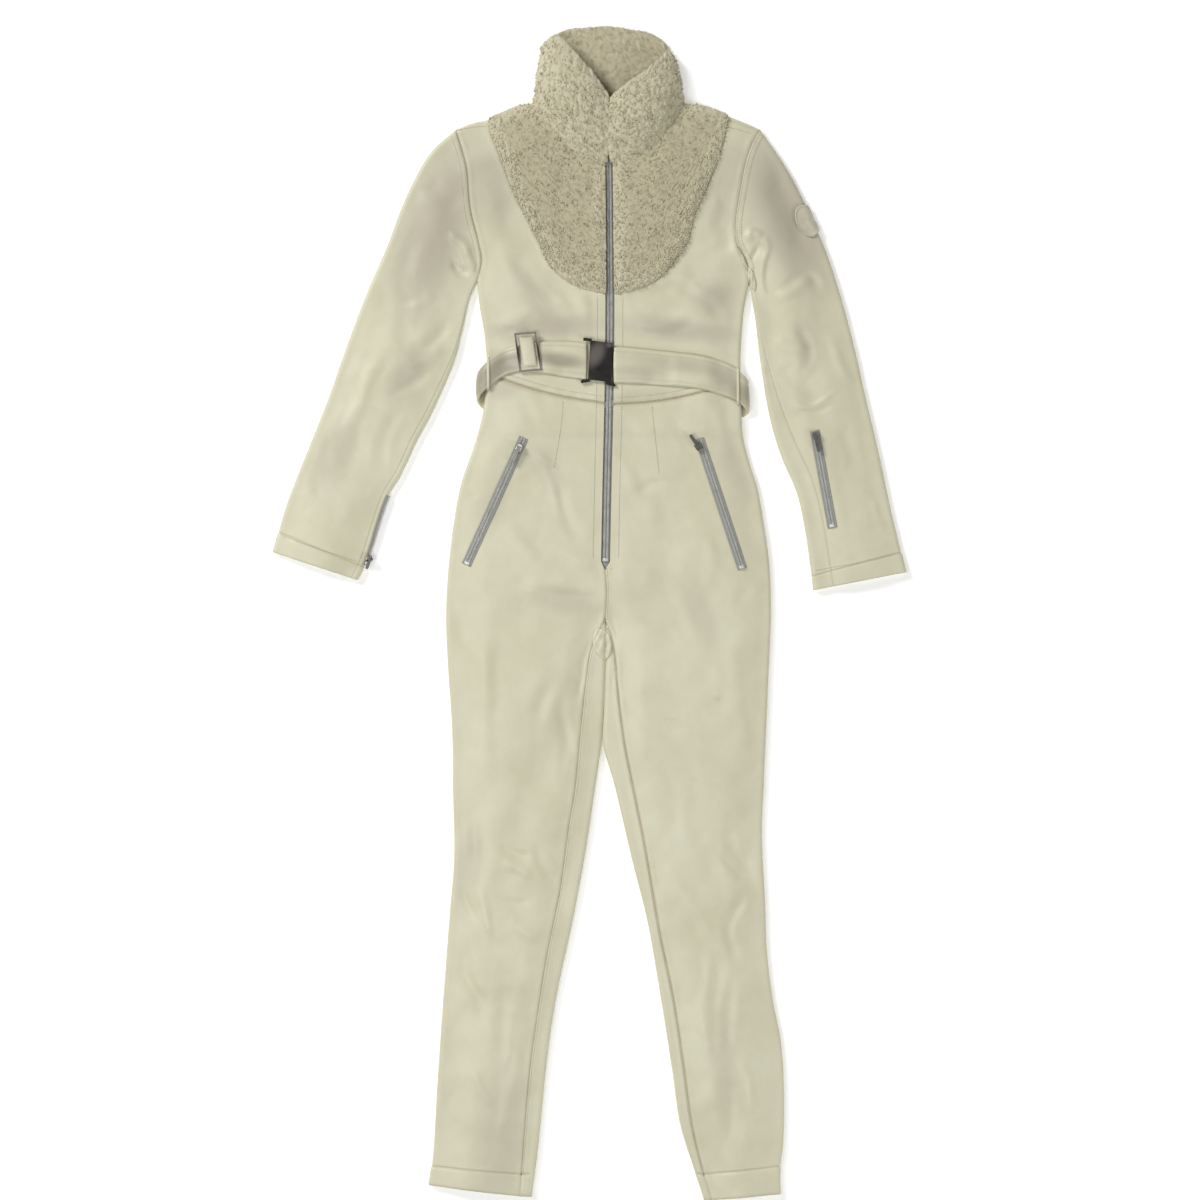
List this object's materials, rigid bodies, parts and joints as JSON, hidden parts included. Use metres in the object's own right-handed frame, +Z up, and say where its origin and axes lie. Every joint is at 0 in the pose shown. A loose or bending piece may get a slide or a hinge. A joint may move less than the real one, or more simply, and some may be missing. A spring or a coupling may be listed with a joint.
{
  "type": "ski suit",
  "caption": "One-piece slim ski suit laid flat on its back, with a fleece collar and yoke, a waist belt with a buckle, a front zip, slanted pocket zips and cuff zips.",
  "frame": {"origin": "on the floor, under the middle of the bounding box", "axes": "+Y runs from the leg hems to the collar, +Z up from the floor through the front of the suit, +X to the right as seen from above"},
  "size_m": [0.8239, 1.5205, 0.0374],
  "materials": {
    "softshell": "matt, smooth bonded knit with a faint sheen",
    "fleece": "curly deep pile",
    "silver_coil": "silver coil on a grey tape",
    "bright_metal": "polished",
    "dark_mirror": "dark polished",
    "badge_face": "smooth matt, bare"
  },
  "bodies": {
    "suit": {"sleeve_left": "softshell", "sleeve_right": "softshell", "bodice_front_left": "softshell", "bodice_front_right": "softshell", "bodice_back": "softshell", "trouser_front_left": "softshell", "trouser_front_right": "softshell", "trouser_back_left": "softshell", "trouser_back_right": "softshell", "belt_strap": "softshell", "belt_fold": "softshell", "carrier_left": "softshell", "carrier_right": "softshell", "bib_left": "fleece", "bib_right": "fleece", "collar": "fleece", "front_zip": "silver_coil", "pocket_zip_left": "silver_coil", "pocket_zip_right": "silver_coil", "cuff_zip_left": "silver_coil", "cuff_zip_right": "silver_coil", "slider_pocket_left": "bright_metal", "slider_pocket_right": "bright_metal", "slider_cuff_left": "bright_metal", "slider_cuff_right": "bright_metal", "keeper": "bright_metal", "buckle": "dark_mirror", "badge": "badge_face"},
    "tab_pocket_left": {"tab_pocket_left": "bright_metal"},
    "tab_pocket_right": {"tab_pocket_right": "bright_metal"},
    "tab_cuff_left": {"tab_cuff_left": "bright_metal"},
    "tab_cuff_right": {"tab_cuff_right": "bright_metal"}
  },
  "joints": [
    {"name": "tab_pocket_left_hinge", "type": "hinge", "parent": "suit", "child": "tab_pocket_left", "pos_m": [-0.09072, 0.21467, 0.02418], "axis": [-0.9095, 0.4152, -0.0191], "range_deg": [0, 150]},
    {"name": "tab_pocket_right_hinge", "type": "hinge", "parent": "suit", "child": "tab_pocket_right", "pos_m": [0.14184, 0.21596, 0.02433], "axis": [0.8199, 0.5721, 0.0228], "range_deg": [0, 150]},
    {"name": "tab_cuff_left_hinge", "type": "hinge", "parent": "suit", "child": "tab_cuff_left", "pos_m": [-0.28381, 0.07086, 0.01438], "axis": [-0.6986, 0.2578, 0.6675], "range_deg": [0, 120]},
    {"name": "tab_cuff_right_hinge", "type": "hinge", "parent": "suit", "child": "tab_cuff_right", "pos_m": [0.29338, 0.23067, 0.02238], "axis": [-0.9788, -0.1958, -0.0596], "range_deg": [0, 150]}
  ]
}
